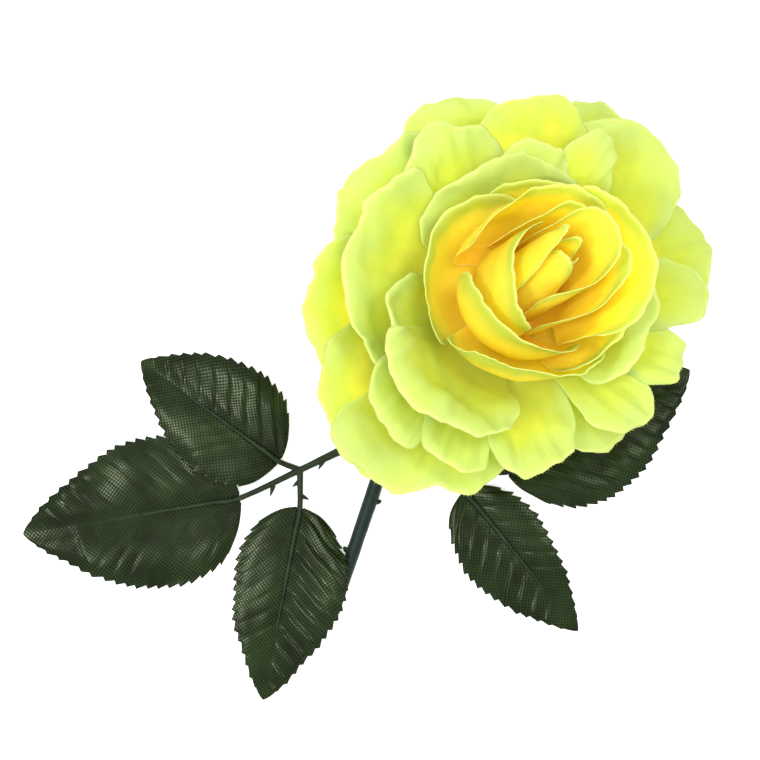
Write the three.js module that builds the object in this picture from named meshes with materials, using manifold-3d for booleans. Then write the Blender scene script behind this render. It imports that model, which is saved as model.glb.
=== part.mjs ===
// An artificial rose with a bent head, lying on a table: fabric petal layers threaded on a core, a
// calyx, a moulded stem with its wire, and two leaf sprigs of three fabric leaves each.
// Millimetres, +Z up, table at z = 0.
import * as THREE from "three";
import Module from "manifold-3d";

const wasm = await Module();
wasm.setup();
const { Manifold, Mesh } = wasm;

// driving sizes
const CLOTH = 0.4; // thickness that the fabric is drawn at
const GAP = 0.3; // between pieces that touch
const BOX_MIDDLE = [-4.5, -5.7]; // plan middle of the whole part, moved to the origin

// the head: its base, and how its axis leans and bends
const HEAD = { x: 33.2, y: 21.0, z: 25.55, lean: 15, toward: 38, bend: 24, bendOver: 45 };

// the stem and what goes in it
const STEM_R = { end: 1.85, neck: 2.1 };
const WIRE_R = 0.65;
const CORE_R = 1.5;
const FORK = [4.5, -12.4]; // where both sprigs leave the stem
const CUT_END = [-13.2, -65.2];
const CALYX = { top: -1.9, floor: -4.4, bottom: -11, radius: 5.2 };

// Petal layers from the inside out. A petal leaves the hub at `start` degrees from the axis, runs
// straight for `claw`, turns with radius `rho` to `open` degrees (which swings round the axis, with a
// bump on one side) and rolls out by `roll` from `rollFrom` mm on. `over` lifts the edge that overlaps
// the next petal, in mm per degree.
const LAYERS = [
  { h: 9.9, start: 74, claw: 0, rho: 7, open: -9, swing: 0, toward: 0, over: 0.012 },
  { h: 8.4, start: 70, claw: 2, rho: 8, open: -1, swing: 6, toward: 0, over: 0.01 },
  { h: 7.0, start: 74, claw: 4.5, rho: 9.5, open: 1, swing: 7, toward: -10, over: 0.014 },
  { h: 5.6, start: 78, claw: 8, rho: 11.5, open: 4, swing: 9, toward: 0, over: 0.016,
    roll: 8, rollFrom: 34 },
  { h: 4.2, start: 82, claw: 12, rho: 13.5, open: 6, swing: 10, toward: 30, over: 0.018,
    roll: 8, rollFrom: 34, bump: 36, bumpAt: 158, bumpHalf: 78 },
  { h: 2.8, start: 86, claw: 14, rho: 17, open: 41, swing: 13, toward: 210, over: 0.028,
    roll: 20, rollFrom: 36 },
  { h: 1.4, start: 90, claw: 16, rho: 20, open: 66, swing: 5, toward: 320, over: 0.03,
    roll: 20, rollFrom: 40 },
  { h: 0, start: 94, claw: 18, rho: 24, open: 86, swing: 9, toward: 48, over: 0.03,
    roll: 12, rollFrom: 42 },
];

// each petal: azimuth, half width in degrees, length in mm, how much longer its far edge is, and the
// rounding of its tip
const PETALS = [
  [[215, 88, 38, 0.04, 0.16], [62, 76, 41, 0, 0.3], [322, 50, 37, 0, 0.3]],
  [[7, 106, 46, 0.16, 0.34], [160, 56, 48, -0.03, 0.38]],
  [[180, 79, 36, -0.16, 0.1], [340, 65, 46, 0.15, 0.4], [73, 58, 46, 0.01, 0.28]],
  [[243, 69, 34, 0, 0.18], [4, 63, 51, 0.02, 0.1], [95, 61, 44, -0.15, 0.1]],
  [[270, 56, 38, 0.1, 0.23], [145, 72, 32, -0.02, 0.21], [345, 52, 41, 0, 0.25], [55, 52, 41, 0, 0.25]],
  [[102, 48, 40, -0.16, 0.18], [194, 26, 41, 0.09, 0.33], [234, 34, 49, -0.11, 0.18],
    [59, 14, 56, 0.06, 0.28], [80, 20, 47, -0.01, 0.27], [350, 40, 44, 0, 0.25]],
  [[115, 26, 51, -0.02, 0.27], [175, 46, 48, -0.01, 0.1], [83, 23, 57, -0.09, 0.19],
    [47, 25, 64, 0, 0.33], [3, 15, 57, -0.01, 0.33], [340, 14, 52, 0.02, 0.3], [316, 14, 49, 0.07, 0.17],
    [281, 22, 48, -0.16, 0.23], [247, 14, 52, 0, 0.14], [222, 14, 54, 0.07, 0.1]],
  [[101, 28, 57, 0, 0.28], [60, 15, 67, 0, 0.29], [19, 22, 63, 0.03, 0.27], [311, 26, 47, 0.06, 0.25],
    [243, 29, 58, -0.16, 0.1], [215, 27, 60, 0.11, 0.2], [183, 31, 54, 0.06, 0.21],
    [137, 36, 52, -0.01, 0.21]],
];
const CELL = 9.5; // half degrees of a petal to each cell across it
const PETAL_ROWS = [0, 0.2, 0.38, 0.58, 0.79, 1];
const HUB = { radius: 3.1, thick: 0.9 };
const TRIM = 0.05; // how far a face may move when slivers are cleared away

// leaves: base and tip in plan, half widths to the left and right of the midrib, heights at base,
// middle and tip, how much the left edge stands above the midrib, and how far the edges drop
const LEAVES = {
  left_side_leaf: {
    from: [-28.4, -22.8], to: [-67.2, 5.3], left: 16.5, right: 18, z: [3.4, 4.4, 0.6], tip: 0, drop: 1.2,
  },
  left_end_leaf: {
    from: [-39.4, -33.2], to: [-100.4, -43.3], left: 22, right: 22, z: [2.6, 2.4, 0.5], tip: 0, drop: 1.2,
  },
  left_low_leaf: {
    from: [-22.5, -36], to: [-32.9, -90], left: 17.7, right: 15.5, z: [3, 3.8, 0.6], tip: 2.2, drop: 0.5,
  },
  right_side_leaf: {
    from: [23.9, -31.2], to: [55.7, -70.6], left: 11.5, right: 15, z: [2.8, 3.4, 0.6], tip: 1.2, drop: 0.5,
  },
  right_end_leaf: {
    from: [35.7, -25.9], to: [87.2, 2.8], left: 18, right: 21, z: [2.6, 2.4, 0.5], tip: 0, drop: 1.2,
  },
  right_top_leaf: {
    from: [22.6, -20.4], to: [61, 3], left: 13, right: 13, z: [4.6, 7, 6], tip: 0, drop: 0.8,
  },
};
const TEETH = 8;
const TOOTH = 1.2;
const RIB_SHARE = 0.45; // how much of a leaf the moulded midrib carries

const COLOURS = {
  petal: 0xdcf25a, heart: 0xf6d21a, leaf: 0x34452c, sprig: 0x2f4027, stem: 0x2c4038, wire: 0x9a9c9e,
  core: 0xe9dc8c,
};

const rad = (deg) => (deg * Math.PI) / 180;
const clamp = (v, lo, hi) => Math.min(Math.max(v, lo), hi);
const lerp = (a, b, t) => a + (b - a) * t;
const add = (p, q, k = 1) => p.map((v, i) => v + q[i] * k);
const sub = (p, q) => p.map((v, i) => v - q[i]);
const cross = (a, b) => [a[1] * b[2] - a[2] * b[1], a[2] * b[0] - a[0] * b[2], a[0] * b[1] - a[1] * b[0]];
const unit = (v) => v.map((c) => c / (Math.hypot(...v) || 1));

// solids from rings and grids of points
const solid = (points, faces) => new Manifold(new Mesh({
  numProp: 3, vertProperties: new Float32Array(points.flat()), triVerts: new Uint32Array(faces.flat()),
}));

// a closed slab round a grid of points, half its thickness to each side
function slab(grid, thickness) {
  const rows = grid.length, cols = grid[0].length, half = rows * cols;
  const at = (i, j) => grid[clamp(i, 0, rows - 1)][clamp(j, 0, cols - 1)];
  const normal = (i, j) => unit(cross(sub(at(i, j + 1), at(i, j - 1)), sub(at(i + 1, j), at(i - 1, j))));
  const side = (k) => grid.flatMap((row, i) => row.map((p, j) => add(p, normal(i, j), k * thickness / 2)));
  const points = [...side(1), ...side(-1)];
  const faces = [];
  for (let i = 0; i < rows - 1; i++) for (let j = 0; j < cols - 1; j++) {
    const a = i * cols + j, b = a + 1, c = b + cols, d = a + cols;
    faces.push([a, b, c], [a, c, d], [half + a, half + c, half + b], [half + a, half + d, half + c]);
  }
  const rim = [];
  for (let j = 0; j < cols; j++) rim.push(j);
  for (let i = 1; i < rows; i++) rim.push(i * cols + cols - 1);
  for (let j = cols - 2; j >= 0; j--) rim.push((rows - 1) * cols + j);
  for (let i = rows - 2; i > 0; i--) rim.push(i * cols);
  rim.forEach((a, n) => {
    const b = rim[(n + 1) % rim.length];
    faces.push([a, half + b, b], [a, half + a, half + b]);
  });
  return solid(points, faces);
}

// stacked rings of equal count, closed by flat ends
function stack(rings) {
  const n = rings[0].length, last = (rings.length - 1) * n;
  const faces = [];
  for (let k = 0; k < rings.length - 1; k++) for (let i = 0; i < n; i++) {
    const a = k * n + i, b = k * n + ((i + 1) % n);
    faces.push([a, b, b + n], [a, b + n, a + n]);
  }
  for (let i = 1; i < n - 1; i++) faces.push([0, i + 1, i], [last, last + i, last + i + 1]);
  return solid(rings.flat(), faces);
}

// a round rod along points, with a radius at each
function rod(path, radii, sides = 8) {
  let across = unit(cross(sub(path[1], path[0]), [0.3, 0.1, 1]));
  return stack(path.map((p, i) => {
    const along = unit(sub(path[Math.min(i + 1, path.length - 1)], path[Math.max(i - 1, 0)]));
    const up = unit(cross(across, along));
    across = unit(cross(along, up));
    const r = Array.isArray(radii) ? radii[i] : radii;
    return Array.from({ length: sides }, (_, k) => {
      const t = (2 * Math.PI * k) / sides;
      return add(add(p, across, r * Math.cos(t)), up, -r * Math.sin(t));
    });
  }));
}

function bezier(a, b, c, d, n) {
  return Array.from({ length: n + 1 }, (_, i) => {
    const t = i / n, s = 1 - t;
    return a.map((v, k) => s * s * s * v + 3 * s * s * t * b[k] + 3 * s * t * t * c[k] + t * t * t * d[k]);
  });
}

// head frame to layout: the upper head bends over, then the whole head leans
const towards = [Math.cos(rad(HEAD.toward)), Math.sin(rad(HEAD.toward))];
const axis = [...towards.map((v) => v * Math.sin(rad(HEAD.lean))), Math.cos(rad(HEAD.lean))];
function inHead([x, y, h]) {
  const k = rad(HEAD.bend) / HEAD.bendOver;
  const turn = k * Math.max(h, 0);
  const u = x * towards[0] + y * towards[1], v = y * towards[0] - x * towards[1];
  const bu = (1 - Math.cos(turn)) / k + u * Math.cos(turn);
  const bh = Math.sin(turn) / k - u * Math.sin(turn) + Math.min(h, 0);
  const c = Math.cos(rad(HEAD.lean)), s = Math.sin(rad(HEAD.lean));
  const lu = bu * c + bh * s;
  return [
    HEAD.x + lu * towards[0] - v * towards[1],
    HEAD.y + lu * towards[1] + v * towards[0],
    HEAD.z + bh * c - bu * s,
  ];
}

// a ring or plug that is round about the head's axis: its outline as [radius, height] pairs
function turned(outline, sides) {
  return stack(outline.map(([r, h]) => Array.from({ length: sides }, (_, k) => {
    const t = (2 * Math.PI * k) / sides;
    return inHead([r * Math.cos(t), r * Math.sin(t), h]);
  })));
}

function openAt(layer, azimuth) {
  const open = layer.open + layer.swing * Math.cos(rad(azimuth - layer.toward));
  if (!layer.bump) return open;
  const off = ((azimuth - layer.bumpAt + 540) % 360) - 180;
  if (Math.abs(off) >= layer.bumpHalf) return open;
  return open + layer.bump * Math.cos((Math.PI / 2) * off / layer.bumpHalf) ** 2;
}

// a point of a petal in the head frame: a from -1 to 1 across, b from 0 at the hub to 1 at the rim
function petalPoint(layer, [azimuth, half, length, skew, round], a, b) {
  const t = clamp((b - 0.1) / 0.45, 0, 1);
  const across = half * (0.42 + 0.58 * t * t * (3 - 2 * t)) * a;
  const rim = length * (1 - round * Math.abs(a) ** 2.6) * (1 + skew * a);
  const open = openAt(layer, azimuth + across);
  const angle = (s) => {
    const turn = (s - layer.claw) / layer.rho * 180 / Math.PI;
    const roll = (layer.roll || 0) * clamp((s - (layer.rollFrom || 0)) / 14, 0, 2) ** 1.3;
    return rad(clamp(layer.start - turn, open, layer.start) + roll);
  };
  const steps = 32, run = b * rim;
  let r = CORE_R + GAP + 0.4, h = layer.h;
  for (let i = 0; i < steps; i++) {
    const turn = angle(run * (i + 0.5) / steps);
    r += Math.sin(turn) * run / steps;
    h += Math.cos(turn) * run / steps;
  }
  const lift = layer.over * across * clamp((run - 3) / 9, 0, 1);
  r += lift * Math.cos(angle(run));
  h -= lift * Math.sin(angle(run));
  return [r * Math.cos(rad(azimuth + across)), r * Math.sin(rad(azimuth + across)), h];
}

function petalLayer(layer, petals) {
  const pieces = petals.map((petal) => {
    const cells = clamp(Math.round(petal[1] / CELL), 4, 10);
    return slab(PETAL_ROWS.map((b) => Array.from({ length: cells + 1 }, (_, j) =>
      inHead(petalPoint(layer, petal, (2 * j) / cells - 1, b)))), CLOTH);
  });
  const hub = turned([[HUB.radius, layer.h - HUB.thick / 2], [HUB.radius, layer.h + HUB.thick / 2]], 8);
  const bore = turned([[CORE_R + GAP, layer.h - 2], [CORE_R + GAP, layer.h + 2]], 8);
  return Manifold.union([hub, ...pieces]).subtract(bore).simplify(TRIM);
}

// the core that carries the layers: a pin with a button on top
function core() {
  const top = LAYERS[0].h + HUB.thick / 2 + GAP;
  const pin = [[CORE_R, CALYX.floor - 2.6], [CORE_R, 0], [CORE_R, top]];
  return turned([...pin, [CORE_R + 0.8, top], [CORE_R + 0.6, top + 1.6]], 8);
}

// the calyx: a cup on the stem's neck, and five sepals bent back under the petals
function calyx() {
  const { top, floor, bottom, radius } = CALYX;
  const cup = turned([
    [STEM_R.neck + 1.3, bottom], [radius * 0.85, floor - 2.5], [radius, floor + 0.8], [radius * 0.8, top],
  ], 10);
  const socket = turned([[STEM_R.neck + GAP, bottom - 1], [STEM_R.neck + GAP, floor - 0.6]], 8);
  const bore = turned([[CORE_R + GAP, floor - 2], [CORE_R + GAP, top + 1]], 8);
  const sepals = [0, 1, 2, 3, 4].map((k) => slab([0, 0.3, 0.65, 1].map((b) => [-1, 0, 1].map((a) => {
    const out = radius * 0.75 + 15 * b, wide = 3.4 * (1 - b) ** 0.7 + 0.3;
    const t = rad(72 * k + 20);
    return inHead([out * Math.cos(t) - a * wide * Math.sin(t), out * Math.sin(t) + a * wide * Math.cos(t),
      top - 1.1 - 2.2 * b - 3.2 * b * b]);
  })), CLOTH + 0.2));
  return Manifold.union([cup, ...sepals]).subtract(socket).subtract(bore).simplify(TRIM);
}

// the stem's middle line: straight on the table, then curving over and up into the calyx
const neck = inHead([0, 0, CALYX.floor - 2.6 - GAP]);
const collar = inHead([0, 0, CALYX.bottom - 1]);
const rest = (p, r) => [...p, r];
const flat = Array.from({ length: 5 }, (_, i) => {
  const t = i / 4;
  return rest(CUT_END.map((v, k) => lerp(v, FORK[k], t)), lerp(STEM_R.end, STEM_R.neck, t));
});
const along = unit(sub(flat[4], flat[0]));
const rising = bezier(flat[4], add(flat[4], along, 20), add(collar, axis, -11), collar, 8);
const stemLine = [...flat, ...rising.slice(1), neck];
const stemRadii = stemLine.map((_, i) => lerp(STEM_R.end, STEM_R.neck, clamp(i / 4, 0, 1)));

// side branches: a stub on the stem with a peg, and the sprig's socket over it
const branch = (to) => {
  const fork = rest(FORK, STEM_R.neck);
  const dir = unit(sub(to, fork));
  return { fork, dir, shoulder: add(fork, dir, 8.5), tip: add(fork, dir, 12) };
};
const SPRIGS = {
  left_sprig: {
    joint: [-22.5, -25.3, 2.3], leaves: ["left_side_leaf", "left_end_leaf", "left_low_leaf"],
  },
  right_sprig: {
    joint: [23.3, -25.3, 2.3], leaves: ["right_side_leaf", "right_end_leaf", "right_top_leaf"],
  },
};

function stem() {
  const outer = rod(stemLine, stemRadii, 10);
  const stubs = Object.values(SPRIGS).map(({ joint }) => {
    const { fork, shoulder, tip } = branch(joint);
    return Manifold.union([rod([fork, shoulder], [1.5, 1.2], 8), rod([fork, tip], 0.55, 6)]);
  });
  const thorns = [[0.32, 1], [0.78, 1], [0.6, -1]].map(([t, way]) => {
    const foot = add(flat[0], sub(flat[4], flat[0]), t);
    const out = unit(cross(along, [0, 0, -way]));
    return rod([foot, add(foot, out, 2.2), add(add(foot, out, 3.1), along, 0.5)], [1.5, 0.8, 0.25], 6);
  });
  const bore = rod([add(stemLine[0], along, -1), ...stemLine.slice(0, -2)], WIRE_R + GAP, 6);
  return Manifold.union([outer, ...stubs, ...thorns]).subtract(bore).simplify(TRIM);
}

function wire() {
  const line = stemLine.slice(0, -2);
  const end = unit(sub(line[line.length - 1], line[line.length - 2]));
  return rod([...line.slice(0, -1), add(line[line.length - 1], end, -GAP)], WIRE_R, 6);
}

// a point of a leaf: t from base to tip, s from -1 (right edge) to 1 (left edge), and the cut depth of
// a tooth
function leafPoint({ from, to, left, right, z, tip, drop }, t, s, cut = 0) {
  const dir = unit(sub(to, from)), normal = [-dir[1], dir[0]];
  const share = Math.max(Math.sin(Math.PI * t ** 0.68) ** 0.75, 0.06 * (1 - t) + 0.015);
  const wide = (s > 0 ? left : right) * share;
  const off = s * Math.max(wide - cut * Math.min(1, 4 * wide / left), 0.3);
  const plan = add(add(from, sub(to, from), t), normal, off);
  const mid = z[0] * (1 - t) * (1 - 2 * t) + 4 * z[1] * t * (1 - t) + z[2] * t * (2 * t - 1);
  const tilt = tip * Math.sin(Math.PI * clamp(t + 0.1, 0, 1));
  return [...plan, mid + tilt * off / left - drop * (off / left) ** 2];
}

function leaf(shape) {
  const stations = 2 * TEETH;
  return slab(Array.from({ length: stations + 1 }, (_, i) => {
    const cut = i % 2 && i > 2 ? TOOTH : 0;
    return [-1, 0, 1].map((s) => leafPoint(shape, i / stations, s, s ? cut : 0));
  }), CLOTH);
}

// a sprig: socket, rachis, and a stalk and midrib under each leaf
function sprig({ joint, leaves }) {
  const { dir, shoulder, tip } = branch(joint);
  const start = add(shoulder, dir, GAP);
  const parts = [rod([start, add(start, dir, 4.6), joint], [1.35, 1.25, 0.75], 8)];
  for (const name of leaves) {
    const shape = LEAVES[name];
    const under = [0, 0.2, RIB_SHARE].map((t, i) => {
      const r = 0.55 - 0.1 * i;
      return add(leafPoint(shape, t, 0), [0, 0, -(CLOTH / 2 + GAP + r + 0.08)]);
    });
    parts.push(rod([joint, ...under], [0.7, 0.55, 0.45, 0.35], 6));
  }
  const bore = rod([add(start, dir, -1), add(tip, dir, GAP)], 0.55 + GAP, 6);
  return Manifold.union(parts).subtract(bore).simplify(TRIM);
}

function mesh(name, body, colour, roughness, metalness = 0) {
  const { vertProperties, triVerts, numProp } = body.getMesh();
  const geometry = new THREE.BufferGeometry();
  const points = [];
  for (let i = 0; i < vertProperties.length; i += numProp) {
    const [x, y, z] = vertProperties.slice(i, i + 3);
    points.push(x - BOX_MIDDLE[0], y - BOX_MIDDLE[1], z);
  }
  geometry.setAttribute("position", new THREE.Float32BufferAttribute(points, 3));
  geometry.setIndex([...triVerts]);
  geometry.computeVertexNormals();
  const material = new THREE.MeshStandardMaterial({ color: colour, roughness, metalness });
  const node = new THREE.Mesh(geometry, material);
  node.name = name;
  return node;
}

const rose = new THREE.Group();
rose.name = "artificial_rose";
LAYERS.forEach((layer, i) => {
  const colour = i < 4 ? COLOURS.heart : COLOURS.petal;
  rose.add(mesh(`petal_layer_${i + 1}`, petalLayer(layer, PETALS[i]), colour, 0.8));
});
rose.add(mesh("bud_core", core(), COLOURS.core, 0.5));
rose.add(mesh("calyx", calyx(), COLOURS.sprig, 0.55));
rose.add(mesh("stem", stem(), COLOURS.stem, 0.5));
rose.add(mesh("stem_wire", wire(), COLOURS.wire, 0.4, 1));
for (const [name, shape] of Object.entries(SPRIGS)) rose.add(mesh(name, sprig(shape), COLOURS.sprig, 0.5));
for (const [name, shape] of Object.entries(LEAVES)) rose.add(mesh(name, leaf(shape), COLOURS.leaf, 0.7));

export default rose;
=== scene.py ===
import math
import bpy
import numpy as np
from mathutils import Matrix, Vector


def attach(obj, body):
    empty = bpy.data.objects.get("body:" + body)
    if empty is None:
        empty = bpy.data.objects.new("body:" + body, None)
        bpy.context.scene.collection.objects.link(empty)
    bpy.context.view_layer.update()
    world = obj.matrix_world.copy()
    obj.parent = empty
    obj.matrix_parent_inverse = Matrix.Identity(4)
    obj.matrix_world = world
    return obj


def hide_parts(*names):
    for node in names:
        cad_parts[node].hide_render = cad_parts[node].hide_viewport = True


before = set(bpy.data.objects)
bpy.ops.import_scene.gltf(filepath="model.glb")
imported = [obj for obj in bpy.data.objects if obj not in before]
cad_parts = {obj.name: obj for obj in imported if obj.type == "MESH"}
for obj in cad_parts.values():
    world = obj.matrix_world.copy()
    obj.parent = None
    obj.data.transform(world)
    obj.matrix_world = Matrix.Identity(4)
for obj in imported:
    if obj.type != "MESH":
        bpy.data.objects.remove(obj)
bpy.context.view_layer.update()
mm = 0.001
boxMiddle = np.array([-4.5, -5.7, 0.0])  # plan offset of the layout, as in the CAD


def hexColour(code):
    parts = [int(code[i:i + 2], 16) / 255 for i in (1, 3, 5)]
    return [*(c / 12.92 if c <= 0.04045 else ((c + 0.055) / 1.055) ** 2.4 for c in parts), 1]


# adds a node: inputs by name or number, each a value, or one or more sockets to link; stops are the places
# and colours of a ramp, and the rest are the node's settings
def addNode(tree, kind, inputs=None, stops=(), **settings):
    node = tree.nodes.new(kind)
    for name, value in settings.items():
        setattr(node, name, value)
    for key, value in (inputs or {}).items():
        sockets = value if isinstance(value, (list, tuple)) else [value]
        if isinstance(sockets[0], bpy.types.NodeSocket):
            for socket in sockets:
                tree.links.new(socket, node.inputs[key])
        else:
            node.inputs[key].default_value = value
    if stops:
        elements = node.color_ramp.elements
        while len(elements) < len(stops):
            elements.new(0.5)
        for element, (place, code) in zip(elements, stops):
            element.position, element.color = place, hexColour(code)
    return node


def smooth(t):
    t = np.clip(t, 0, 1)
    return t * t * (3 - 2 * t)


def unit(v):
    v = np.asarray(v, float)
    return v / np.maximum(np.linalg.norm(v, axis=-1, keepdims=True), 1e-12)


# camera: straight above the flower, as the photo was taken
view = {"height": 0.750, "lens": 126.0, "place": (0.0045, 0.0057)}
camera = bpy.data.cameras.new("overhead")
cameraObject = bpy.data.objects.new("overhead", camera)
bpy.context.scene.collection.objects.link(cameraObject)
camera.sensor_width, camera.lens, camera.clip_start = 36, view["lens"], 0.01
cameraObject.location = (*view["place"], view["height"])
bpy.context.scene.camera = cameraObject


# materials
def newMaterial(name):
    material = bpy.data.materials.new(name)
    material.use_nodes = True
    material.node_tree.nodes.clear()
    return material, material.node_tree


# dyed polyester cloth, die-cut and pressed to shape: matt, and thin enough to glow where light comes through
petalLook = {
    "dye": [(0.0, "#ffe140"), (0.3, "#fff44e"), (0.52, "#f6ee5a"), (0.72, "#dce457"), (1.0, "#d5e386")],
    "rim": "#f8fcb0", "rimMm": 1.4, "rimShare": 0.55, "blotchMm": 9, "blotchShare": 0.3,
    "creaseMm": (1.6, 16), "creaseDeepMm": 0.25, "clothMm": 0.5, "clothDeepMm": 0.06, "through": 0.54,
}


def petalCloth(name, look):
    material, tree = newMaterial(name)
    coords = addNode(tree, "ShaderNodeTexCoord")
    dye = addNode(tree, "ShaderNodeAttribute", attribute_name="dye")
    rim = addNode(tree, "ShaderNodeAttribute", attribute_name="rimGap")
    # the dye was brushed on, so it runs unevenly
    blotch = addNode(tree, "ShaderNodeTexNoise", {"Vector": coords.outputs["Object"],
                     "Scale": 1000 / look["blotchMm"], "Detail": 2.0})
    uneven = addNode(tree, "ShaderNodeMath", {0: blotch.outputs["Fac"], 1: -0.5}, operation="ADD")
    stain = addNode(tree, "ShaderNodeMath", {0: uneven.outputs[0], 1: look["blotchShare"],
                    2: dye.outputs["Fac"]}, operation="MULTIPLY_ADD")
    dyed = addNode(tree, "ShaderNodeValToRGB", {"Fac": stain.outputs[0]}, look["dye"])
    # the cut edge shows undyed threads
    nearRim = addNode(tree, "ShaderNodeMapRange", {"Value": rim.outputs["Fac"], "From Min": 0.0,
                      "From Max": look["rimMm"], "To Min": look["rimShare"], "To Max": 0.0})
    colour = addNode(tree, "ShaderNodeMix", {0: nearRim.outputs[0], 6: dyed.outputs[0],
                     7: hexColour(look["rim"])}, data_type="RGBA").outputs[2]
    # pressed creases run from the hub to the rim; the grain is drawn coarser than the threads
    across, along = look["creaseMm"]
    lay = addNode(tree, "ShaderNodeMapping", {"Vector": coords.outputs["UV"],
                  "Scale": (1000 / across, 1000 / along, 1)})
    crease = addNode(tree, "ShaderNodeTexNoise", {"Vector": lay.outputs[0], "Scale": 1.0, "Detail": 1.5})
    grain = addNode(tree, "ShaderNodeTexNoise", {"Vector": coords.outputs["Object"],
                    "Scale": 1000 / look["clothMm"]})
    folds = addNode(tree, "ShaderNodeBump", {"Height": crease.outputs["Fac"],
                    "Distance": look["creaseDeepMm"] * mm, "Strength": 0.5})
    bump = addNode(tree, "ShaderNodeBump", {"Height": grain.outputs["Fac"],
                   "Distance": look["clothDeepMm"] * mm, "Strength": 0.6, "Normal": folds.outputs[0]})
    face = addNode(tree, "ShaderNodeBsdfPrincipled", {"Base Color": colour, "Roughness": 0.8,
                   "Specular IOR Level": 0.25, "Normal": bump.outputs[0]})
    glow = addNode(tree, "ShaderNodeBsdfTranslucent", {"Color": colour, "Normal": bump.outputs[0]})
    both = addNode(tree, "ShaderNodeMixShader", {0: look["through"], 1: face.outputs[0], 2: glow.outputs[0]})
    addNode(tree, "ShaderNodeOutputMaterial", {"Surface": both.outputs[0]})
    return material


# woven polyester satin, dyed dark green and pressed: broad soft highlights, broken up by its threads, which
# are drawn coarser than real so that they show. The thread tops are also painted lighter in the colour: a
# painted sheen laid over the weave's own pattern
leafLook = {"dark": "#040702", "light": "#243418", "threadMm": 1.15, "blotchMm": 9, "weaveAndPaintedSheenShare": 0.5,
            "bumpMm": 0.02, "roughness": (0.45, 0.17), "specular": 0.27, "tint": "#d0dcb8"}


def leafSatin(name, look):
    material, tree = newMaterial(name)
    coords = addNode(tree, "ShaderNodeTexCoord")
    cut = addNode(tree, "ShaderNodeSeparateXYZ", {0: coords.outputs["UV"]})
    turn = 2 * math.pi / (look["threadMm"] * mm)
    waves = []
    for axis in (0, 1):
        run = addNode(tree, "ShaderNodeMath", {0: cut.outputs[axis], 1: turn}, operation="MULTIPLY")
        waves.append(addNode(tree, "ShaderNodeMath", {0: run.outputs[0]}, operation="SINE").outputs[0])
    weave = addNode(tree, "ShaderNodeMath", {0: waves[0], 1: waves[1]}, operation="MULTIPLY")
    blotch = addNode(tree, "ShaderNodeTexNoise", {"Vector": coords.outputs["Object"],
                     "Scale": 1000 / look["blotchMm"], "Detail": 3.0})
    # the colour is painted lighter on the thread tops, a painted sheen, and also varies at random with the
    # blotches
    shade = addNode(tree, "ShaderNodeMath", {0: weave.outputs[0], 1: look["weaveAndPaintedSheenShare"],
                    2: blotch.outputs["Fac"]}, operation="MULTIPLY_ADD")
    colour = addNode(tree, "ShaderNodeValToRGB", {"Fac": shade.outputs[0]},
                     [(0.3, look["dark"]), (0.95, look["light"])])
    bump = addNode(tree, "ShaderNodeBump", {"Height": weave.outputs[0], "Distance": look["bumpMm"] * mm,
                   "Strength": 0.8})
    between, onThread = look["roughness"]
    gloss = addNode(tree, "ShaderNodeMapRange", {"Value": weave.outputs[0], "From Min": -1.0,
                    "From Max": 1.0, "To Min": between, "To Max": onThread})
    cloth = addNode(tree, "ShaderNodeBsdfPrincipled", {"Base Color": colour.outputs[0],
                    "Roughness": gloss.outputs[0], "Specular IOR Level": look["specular"],
                    "Specular Tint": hexColour(look["tint"]), "Normal": bump.outputs[0]})
    addNode(tree, "ShaderNodeOutputMaterial", {"Surface": cloth.outputs[0]})
    return material


# moulded polyethylene: a finely pitted skin in uneven green, with a dull shine
plasticLook = {
    "sprig": {"dark": "#141d10", "light": "#26331f", "pitMm": 0.5},
    "stem": {"dark": "#0d1a16", "light": "#192b25", "pitMm": 0.6},
    "core": {"dark": "#d8c878", "light": "#efe4a8", "pitMm": 0.5},
    "all": {"patch": 8, "pitDeepMm": 0.12, "roughness": 0.5, "specular": 0.2},  # patch in pit widths
}


def mouldedPlastic(name, own, look=plasticLook["all"]):
    material, tree = newMaterial(name)
    coords = addNode(tree, "ShaderNodeTexCoord")
    patch = addNode(tree, "ShaderNodeTexNoise", {"Vector": coords.outputs["Object"],
                    "Scale": 1000 / (own["pitMm"] * look["patch"]), "Detail": 4.0})
    colour = addNode(tree, "ShaderNodeValToRGB", {"Fac": patch.outputs["Fac"]},
                     [(0.3, own["dark"]), (0.75, own["light"])])
    pits = addNode(tree, "ShaderNodeTexNoise", {"Vector": coords.outputs["Object"],
                   "Scale": 1000 / own["pitMm"], "Detail": 3.0})
    bump = addNode(tree, "ShaderNodeBump", {"Height": pits.outputs["Fac"],
                   "Distance": look["pitDeepMm"] * mm, "Strength": 0.6})
    shader = addNode(tree, "ShaderNodeBsdfPrincipled", {"Base Color": colour.outputs[0],
                     "Roughness": look["roughness"], "Specular IOR Level": look["specular"],
                     "Normal": bump.outputs[0]})
    addNode(tree, "ShaderNodeOutputMaterial", {"Surface": shader.outputs[0]})
    return material


# annealed steel wire, zinc plated: grey, with a dull drawn shine
def drawnSteel(name):
    material, tree = newMaterial(name)
    coords = addNode(tree, "ShaderNodeTexCoord")
    streak = addNode(tree, "ShaderNodeTexNoise", {"Vector": coords.outputs["Object"], "Scale": 1800.0})
    rough = addNode(tree, "ShaderNodeMapRange", {"Value": streak.outputs["Fac"], "To Min": 0.3,
                    "To Max": 0.55})
    shader = addNode(tree, "ShaderNodeBsdfPrincipled", {"Base Color": hexColour("#a9abae"), "Metallic": 1.0,
                     "Roughness": rough.outputs[0]})
    addNode(tree, "ShaderNodeOutputMaterial", {"Surface": shader.outputs[0]})
    return material


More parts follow.
